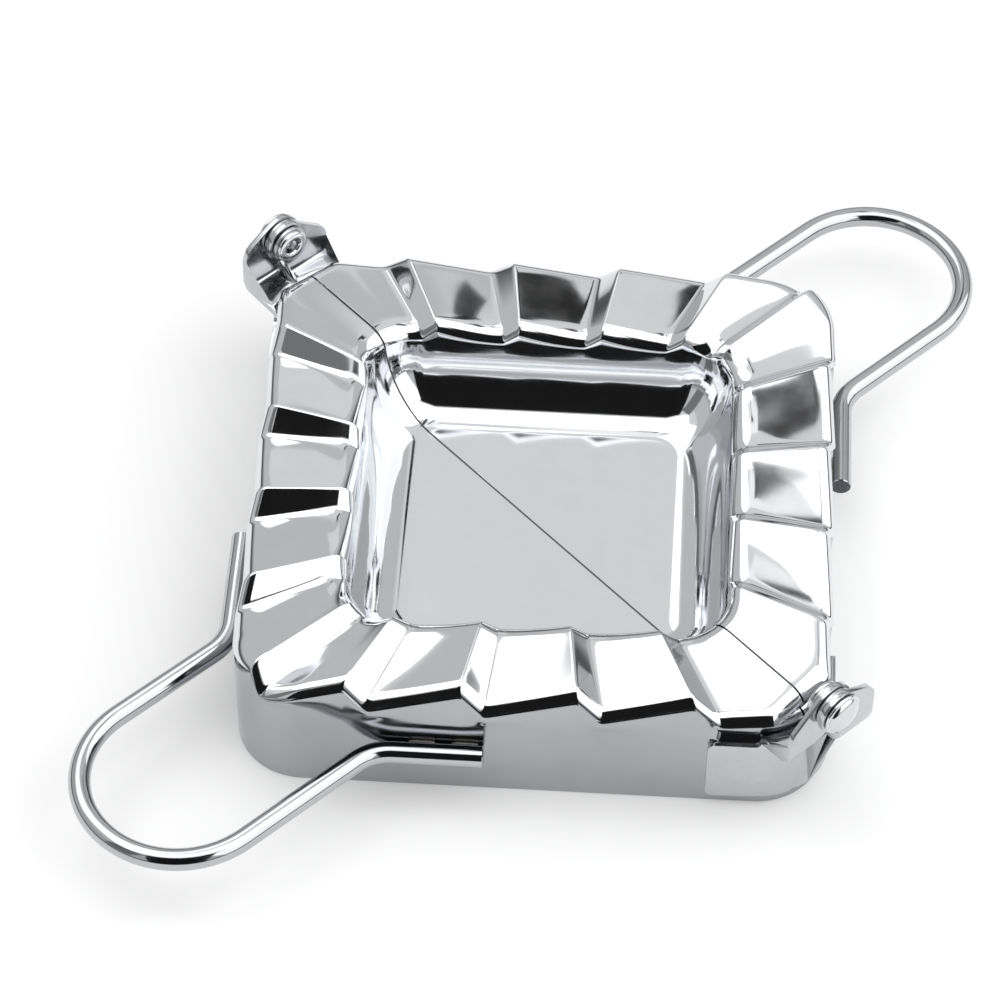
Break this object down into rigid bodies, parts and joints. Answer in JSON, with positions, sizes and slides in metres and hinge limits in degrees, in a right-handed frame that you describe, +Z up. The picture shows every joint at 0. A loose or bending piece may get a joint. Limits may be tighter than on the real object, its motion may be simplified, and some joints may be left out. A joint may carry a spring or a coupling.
{
  "type": "folding dumpling mold",
  "caption": "Square steel dumpling mold that folds shut about a hinge on its diagonal, with a pleated crimping rim round a dish, a cutter skirt and a wire handle on each half.",
  "frame": {"origin": "middle of the square, in the plane that the cutter skirts stand on", "axes": "+Z up; +X and +Y along the sides of the square; the hinge runs over the diagonal from the corner at -X+Y to the corner at +X-Y; half A is at -X-Y, half B at +X+Y"},
  "size_m": [0.1215, 0.1264, 0.0256],
  "materials": {
    "pressed_plate": "mirror-polished pressed stainless sheet",
    "skirt_sheet": "bright rolled stainless sheet",
    "handle_wire": "polished drawn stainless wire",
    "lug_sheet": "bright stamped stainless sheet",
    "rivet_steel": "bright stainless rivet",
    "washer_steel": "plain stainless",
    "weld_metal": "weld bead"
  },
  "bodies": {
    "half_a": {"press_plate_a": "pressed_plate", "cutter_skirt_a": "skirt_sheet", "seam_welds_a": "weld_metal", "handle_wire_a": "handle_wire", "handle_welds_a": "weld_metal", "hinge_lug_a_right": "lug_sheet", "hinge_lug_a_left": "lug_sheet", "hinge_rivet_right": "rivet_steel", "hinge_rivet_left": "rivet_steel", "hinge_washer_right": "washer_steel", "hinge_washer_left": "washer_steel", "clinch_washer_right": "washer_steel", "clinch_washer_left": "washer_steel"},
    "half_b": {"press_plate_b": "pressed_plate", "cutter_skirt_b": "skirt_sheet", "seam_welds_b": "weld_metal", "handle_wire_b": "handle_wire", "handle_welds_b": "weld_metal", "hinge_lug_b_left": "lug_sheet", "hinge_lug_b_right": "lug_sheet"}
  },
  "joints": [
    {"name": "fold_hinge", "type": "hinge", "parent": "half_a", "child": "half_b", "pos_m": [0, 0, 0.022], "axis": [0.7071, -0.7071, 0], "range_deg": [0, 180]}
  ]
}
